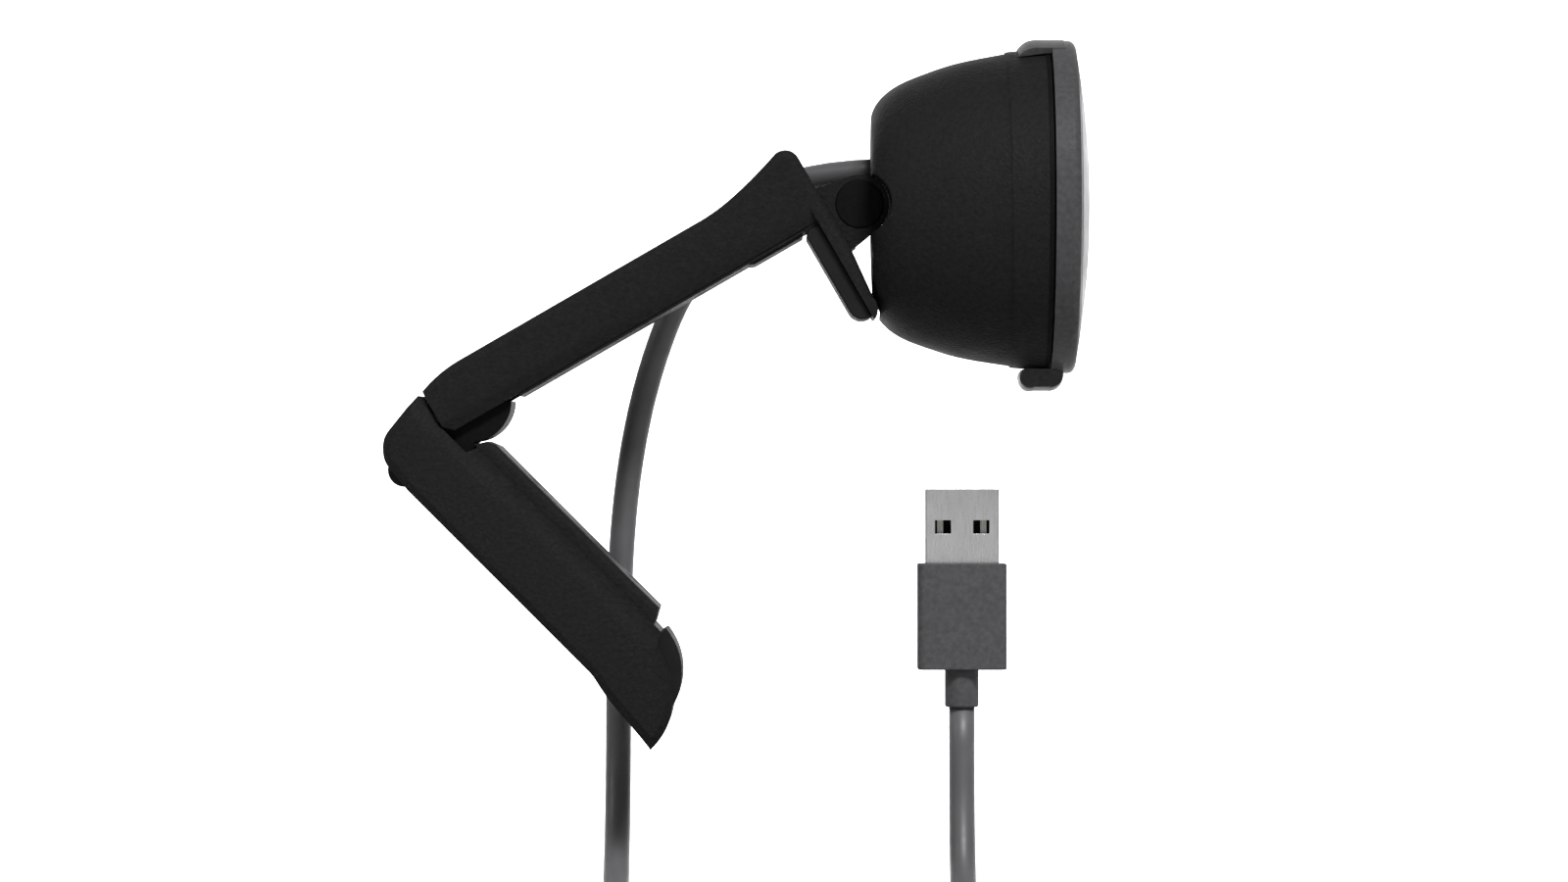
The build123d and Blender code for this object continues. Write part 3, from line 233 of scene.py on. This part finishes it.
def strap_outline(low, high, inset):
    """Corners of the rounded loop that the tape makes round the bundle, seen along the cord."""
    points = []
    corner = TAPE_CORNER - inset / 2
    for number, (y, z) in enumerate(((high.y, high.z), (low.y, high.z), (low.y, low.z), (high.y, low.z))):
        centre_y = y - math.copysign(corner + inset, y - (low.y + high.y) / 2)
        centre_z = z - math.copysign(corner + inset, z - (low.z + high.z) / 2)
        for step in range(CORNER_STEPS + 1):
            angle = math.radians(90 * number + 90 / CORNER_STEPS * step)
            points.append((centre_y + corner * math.cos(angle), centre_z + corner * math.sin(angle)))
    return points


def make_strap():
    """A closed band of hook-and-loop tape with softened edges."""
    low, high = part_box("cable_strap")
    mesh = bmesh.new()
    first_edge = low.x + TAPE_EDGE
    second_edge = high.x - TAPE_EDGE
    rows = []
    for inset, x in ((0, first_edge), (0, second_edge), (TAPE, second_edge), (TAPE, first_edge)):
        rows.append([mesh.verts.new((x, y, z)) for y, z in strap_outline(low, high, inset)])
    for first, second in zip(rows, rows[1:] + rows[:1]):
        for index in range(len(first)):
            following = (index + 1) % len(first)
            mesh.faces.new((first[index], first[following], second[following], second[index]))
    strap = finish_mesh(mesh, "strap")
    rounding = strap.modifiers.new("rounding", "BEVEL")
    rounding.width = TAPE_EDGE
    rounding.segments = 3
    rounding.limit_method = "ANGLE"
    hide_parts("cable_strap")
    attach(strap, "clip")
    return strap


strap = make_strap()


# ---------------------------------------------------------------- materials


class Shader:
    """A node material built step by step, its textures placed by the piece's own coordinates in metres."""

    def __init__(self, name):
        self.material = bpy.data.materials.new(name)
        self.material.use_nodes = True
        self.nodes = self.material.node_tree.nodes
        self.links = self.material.node_tree.links
        self.surface = self.nodes["Principled BSDF"]
        self.surface.inputs["Specular IOR Level"].default_value = 0.5
        self.place = self.nodes.new("ShaderNodeTexCoord").outputs["Object"]

    def noise(self, size, detail=3.0, rough=0.5, stretch=None):
        """Cloudy noise whose blotches are about this many metres across."""
        node = self.nodes.new("ShaderNodeTexNoise")
        node.inputs["Scale"].default_value = 1 / size
        node.inputs["Detail"].default_value = detail
        node.inputs["Roughness"].default_value = rough
        self.links.new(self.stretched(stretch), node.inputs["Vector"])
        return node.outputs["Fac"]

    def stretched(self, stretch):
        if stretch is None:
            return self.place
        node = self.nodes.new("ShaderNodeMapping")
        node.inputs["Scale"].default_value = stretch
        self.links.new(self.place, node.inputs["Vector"])
        return node.outputs["Vector"]

    def cells(self, size, feature="F1"):
        """Rounded cells about this many metres across, as in moulded leather grain."""
        node = self.nodes.new("ShaderNodeTexVoronoi")
        node.feature = feature
        node.inputs["Scale"].default_value = 1 / size
        self.links.new(self.place, node.inputs["Vector"])
        return node.outputs["Distance"]

    def between(self, value, low, high, start=0.0, end=1.0):
        """Carries a value from the stretch start..end to low..high."""
        node = self.nodes.new("ShaderNodeMapRange")
        node.inputs["From Min"].default_value = start
        node.inputs["From Max"].default_value = end
        node.inputs["To Min"].default_value = low
        node.inputs["To Max"].default_value = high
        self.links.new(value, node.inputs["Value"])
        return node.outputs["Result"]

    def add(self, first, second):
        node = self.nodes.new("ShaderNodeMath")
        self.links.new(first, node.inputs[0])
        self.links.new(second, node.inputs[1])
        return node.outputs["Value"]

    def colour(self, value, first, second):
        """A colour that goes from the first to the second as the value goes from 0.3 to 0.7."""
        node = self.nodes.new("ShaderNodeValToRGB")
        node.color_ramp.elements[0].position = 0.3
        node.color_ramp.elements[1].position = 0.7
        node.color_ramp.elements[0].color = (*first, 1)
        node.color_ramp.elements[1].color = (*second, 1)
        self.links.new(value, node.inputs["Fac"])
        self.links.new(node.outputs["Color"], self.surface.inputs["Base Color"])

    def roughness(self, value):
        self.links.new(value, self.surface.inputs["Roughness"])

    def bump(self, height, depth, strength=1.0):
        """Relief from a height of 0..1, this many metres deep."""
        node = self.nodes.new("ShaderNodeBump")
        node.inputs["Strength"].default_value = strength
        node.inputs["Distance"].default_value = depth
        self.links.new(height, node.inputs["Height"])
        self.links.new(node.outputs["Normal"], self.surface.inputs["Normal"])


def grey(level):
    """A grey with a slight cool cast."""
    return (level, level, level * 1.04)


def grained_plastic(name, level, rough, grain, depth, gloss=0.035):
    """Moulded plastic with a fine leather-like grain."""
    shader = Shader(name)
    shader.surface.inputs["Specular IOR Level"].default_value = gloss
    fine = shader.noise(grain * 0.5, detail=3.0)
    cells = shader.cells(grain)
    shader.bump(shader.add(cells, fine), depth)
    patches = shader.noise(9 * MM, detail=4.0)
    shader.colour(shader.noise(0.8 * MM, detail=5.0), grey(level * 0.85), grey(level * 1.15))
    shader.roughness(shader.between(patches, rough - 0.07, rough + 0.07, 0.3, 0.7))
    return shader.material


def soft_rubber(name, level, rough):
    """Black rubber: a dull skin with a faint bloom and very fine pits."""
    shader = Shader(name)
    shader.surface.inputs["Specular IOR Level"].default_value = 0.2
    shader.bump(shader.noise(0.25 * MM, detail=6.0), 0.03 * MM, 0.5)
    shader.colour(shader.noise(4 * MM, detail=5.0), grey(level * 0.8), grey(level * 1.35))
    shader.roughness(shader.between(shader.noise(2 * MM), rough - 0.08, rough + 0.08, 0.3, 0.7))
    return shader.material


def cord_jacket():
    """Smooth moulded jacket with a slight bloom."""
    shader = Shader("cord_jacket")
    shader.bump(shader.noise(0.5 * MM, detail=4.0), 0.02 * MM, 0.35)
    shader.colour(shader.noise(7 * MM, detail=4.0), grey(0.085), grey(0.105))
    shader.roughness(shader.between(shader.noise(3 * MM), 0.40, 0.52, 0.3, 0.7))
    return shader.material


def brushed_metal(name, level, rough):
    """Drawn steel: fine lines along the sheet and small changes in gloss."""
    shader = Shader(name)
    shader.surface.inputs["Metallic"].default_value = 1.0
    lines = shader.noise(0.12 * MM, detail=3.0, stretch=(1.0, 1.0, 0.04))
    shader.bump(lines, 0.004 * MM, 0.4)
    shader.colour(shader.noise(3 * MM, detail=4.0), (level, level, level), (level * 1.08,) * 3)
    shader.roughness(shader.between(lines, rough - 0.08, rough + 0.1, 0.2, 0.8))
    return shader.material


def plated_contacts():
    """Brass contacts under a dull tin plating."""
    shader = Shader("contact_brass")
    shader.surface.inputs["Metallic"].default_value = 1.0
    lines = shader.noise(0.2 * MM, detail=3.0, stretch=(1.0, 1.0, 0.1))
    shader.bump(lines, 0.003 * MM, 0.4)
    shader.colour(lines, (0.42, 0.41, 0.38), (0.52, 0.51, 0.48))
    shader.roughness(shader.between(lines, 0.2, 0.35))
    return shader.material


def woven_strap():
    """Hook-and-loop tape: a dense nap over a woven back."""
    shader = Shader("strap_fabric")
    weave = shader.noise(0.3 * MM, detail=2.0, stretch=(1.0, 0.4, 1.0))
    nap = shader.noise(0.12 * MM, detail=6.0, rough=0.7)
    shader.bump(shader.add(weave, nap), 0.12 * MM, 0.8)
    shader.colour(nap, grey(0.008), grey(0.022))
    shader.surface.inputs["Sheen Weight"].default_value = 0.3
    shader.roughness(shader.between(weave, 0.8, 0.95))
    return shader.material


def circuit_board():
    """Green lacquer over raised tracks."""
    shader = Shader("circuit_board")
    tracks = shader.cells(1.6 * MM, "DISTANCE_TO_EDGE")
    shader.bump(shader.between(tracks, 0, 1, 0.0, 0.08), 0.03 * MM, 0.5)
    shader.colour(shader.between(tracks, 0.2, 0.8, 0.0, 0.1), (0.01, 0.10, 0.05), (0.006, 0.05, 0.028))
    shader.roughness(shader.between(shader.noise(2 * MM), 0.3, 0.42))
    return shader.material


def chip_top():
    """The moulded black top of a chip."""
    shader = Shader("chip")
    shader.bump(shader.noise(0.1 * MM, detail=4.0), 0.01 * MM, 0.4)
    shader.colour(shader.noise(0.6 * MM), grey(0.018), grey(0.028))
    shader.roughness(shader.between(shader.noise(1.5 * MM), 0.35, 0.5))
    return shader.material


def clear_piece(name, tint, transmission, rough):
    """Glass or clear plastic with a trace of polish marks."""
    shader = Shader(name)
    shader.surface.inputs["Transmission Weight"].default_value = transmission
    shader.surface.inputs["IOR"].default_value = 1.5
    shader.surface.inputs["Coat Weight"].default_value = 0.4
    shader.surface.inputs["Coat Roughness"].default_value = 0.03
    smears = shader.noise(2.5 * MM, detail=5.0)
    shader.bump(smears, 0.002 * MM, 0.3)
    shader.colour(smears, tint, tuple(min(1.0, c * 1.1) for c in tint))
    shader.roughness(shader.between(smears, rough, rough + 0.04, 0.3, 0.7))
    return shader.material


materials = {
    "charcoal_plastic": grained_plastic("charcoal_plastic", 0.0135, 0.55, grain=0.55 * MM, depth=0.09 * MM),
    "ring_plastic": grained_plastic("ring_plastic", 0.062, 0.42, grain=0.3 * MM, depth=0.012 * MM),
    "front_plastic": grained_plastic(
        "front_plastic", 0.018, 0.38, grain=0.3 * MM, depth=0.01 * MM, gloss=0.2
    ),
    "inner_plastic": grained_plastic("inner_plastic", 0.006, 0.6, grain=0.4 * MM, depth=0.01 * MM),
    "black_rubber": soft_rubber("black_rubber", 0.0055, 0.72),
    "steel": brushed_metal("steel", 0.74, 0.3),
    "nylon": grained_plastic("nylon", 0.45, 0.45, grain=0.3 * MM, depth=0.01 * MM),
    "cord_jacket": cord_jacket(),
    "strap_fabric": woven_strap(),
    "plug_plastic": grained_plastic("plug_plastic", 0.078, 0.5, grain=0.25 * MM, depth=0.015 * MM),
    "contact_brass": plated_contacts(),
    "circuit_board": circuit_board(),
    "chip": chip_top(),
    "spreader_metal": brushed_metal("spreader_metal", 0.7, 0.35),
    "window_glass": clear_piece("window_glass", (0.05, 0.05, 0.06), 0.85, 0.03),
    "lens_glass": clear_piece("lens_glass", (0.75, 0.8, 0.9), 0.95, 0.02),
    "light_guide": clear_piece("light_guide", (0.85, 0.88, 0.9), 0.8, 0.15),
}
slot_of = {item["node"]: item["material_slot"] for item in frame["record"]["subparts"]}
# the caps over the tilt pin are duller than rubber, and darker than the ears round them
slot_of["pin_cap_near"] = "inner_plastic"
slot_of["pin_cap_far"] = "inner_plastic"


def paint(piece, slot_name):
    """Gives the piece this one material."""
    piece.data.materials.clear()
    piece.data.materials.append(materials[slot_name])


paint(cord, "cord_jacket")
paint(strap, "strap_fabric")
for node_name, node in frame["nodes"].items():
    paint(node, slot_of[node_name])


# ---------------------------------------------------------------- shells with softened edges

JOINED_POINTS = 0.002 * MM  # points closer than this become one
FLAT_ANGLE = math.radians(0.04)  # faces closer to level than this are joined
SHARP_ANGLE = math.radians(28)  # edges sharper than this are rounded


def softened(node_name, edge_radius):
    """A finer copy of a CAD shell: flat faces joined up, its edges rounded and its curves shaded smooth."""
    body = next(name for name, nodes in frame["record"]["behaviour"]["bodies"].items() if node_name in nodes)
    mesh = bmesh.new()
    mesh.from_mesh(frame["nodes"][node_name].data)
    bmesh.ops.remove_doubles(mesh, verts=mesh.verts, dist=JOINED_POINTS)
    bmesh.ops.dissolve_limit(mesh, angle_limit=FLAT_ANGLE, verts=mesh.verts, edges=mesh.edges)
    piece = finish_mesh(mesh, node_name + "_finished")
    rounding = piece.modifiers.new("rounding", "BEVEL")
    rounding.width = edge_radius
    rounding.segments = 3
    rounding.limit_method = "ANGLE"
    rounding.angle_limit = SHARP_ANGLE
    rounding.harden_normals = True
    shading = piece.modifiers.new("shading", "WEIGHTED_NORMAL")
    shading.keep_sharp = True
    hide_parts(node_name)
    paint(piece, slot_of[node_name])
    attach(piece, body)
    return piece


# how far each shell's edges are rounded, in metres
EDGE_ROUNDING = {
    "clip_arm": 0.45 * MM,
    "arm_under_cover": 0.15 * MM,
    "arm_grip_pad": 0.25 * MM,
    "lip_grip_pad": 0.35 * MM,
    "hinge_bracket": 0.3 * MM,
    "pin_cap_near": 0.12 * MM,
    "pin_cap_far": 0.12 * MM,
    "leg_shell": 0.4 * MM,
    "leg_knuckle": 0.25 * MM,
    "leg_inner_cover": 0.3 * MM,
    "heel_bumper": 0.3 * MM,
    "foot_pad": 0.35 * MM,
    "shutter_ring": 0.2 * MM,
    "rear_housing": 0.15 * MM,
    "front_bezel": 0.1 * MM,
    "plug_body": 0.2 * MM,
    "plug_shell": 0.06 * MM,
    "plug_strain_relief": 0.2 * MM,
}
finished = {name: softened(name, radius) for name, radius in EDGE_ROUNDING.items()}


# ---------------------------------------------------------------- light and floor


def studio_surface(name, level):
    """A matt, nearly even paper."""
    shader = Shader(name)
    shader.colour(shader.noise(0.4, detail=2.0), (level,) * 3, (level * 1.01,) * 3)
    shader.roughness(shader.between(shader.noise(0.2), 0.85, 0.95))
    return shader.material


def make_floor():
    """A pale sweep: flat under the object and curving up well behind it."""
    mesh = bmesh.new()
    half_width = 4.0
    front = -3.0
    back = 0.5
    turn_radius = 0.9
    turn_steps = 16
    top = 4.0
    profile = [(front, 0.0), (back, 0.0)]
    for step in range(1, turn_steps + 1):
        angle = math.radians(90 * step / turn_steps)
        profile.append((back + turn_radius * math.sin(angle), turn_radius * (1 - math.cos(angle))))
    profile.append((back + turn_radius, top))
    rows = []
    for y, z in profile:
        rows.append([mesh.verts.new((x, y, desk_level + z)) for x in (-half_width, half_width)])
    for first, second in zip(rows, rows[1:]):
        mesh.faces.new((first[0], first[1], second[1], second[0]))
    floor = finish_mesh(mesh, "floor")
    floor.data.materials.append(studio_surface("pale_floor", 0.6))


def softbox(name, place, aim, size, power):
    """A rectangular lamp turned towards a point."""
    data = bpy.data.lights.new(name, "AREA")
    data.shape = "RECTANGLE"
    data.size, data.size_y = size
    data.energy = power
    lamp = bpy.data.objects.new(name, data)
    lamp.location = place
    lamp.rotation_euler = (Vector(aim) - Vector(place)).to_track_quat("-Z", "Y").to_euler()
    bpy.context.scene.collection.objects.link(lamp)


def make_light():
    """Two soft lamps on the object, one on the sweep behind it, and a faint even fill."""
    bpy.context.scene.view_settings.view_transform = "Standard"
    world = bpy.data.worlds.new("studio")
    world.use_nodes = True
    world.node_tree.nodes["Background"].inputs["Color"].default_value = (1, 1, 1, 1)
    world.node_tree.nodes["Background"].inputs["Strength"].default_value = 0.14
    bpy.context.scene.world = world
    softbox("key", (0.3, -1.0, 1.1), (0, 0, 0), (0.45, 0.3), 26)
    softbox("left", (-1.3, -0.4, 0.9), (0, 0, -0.02), (0.4, 0.6), 4)
    softbox("backdrop", (0, 0.45, 0.55), (0, 0.855, 0.256), (1.6, 0.3), 42)


make_floor()
make_light()
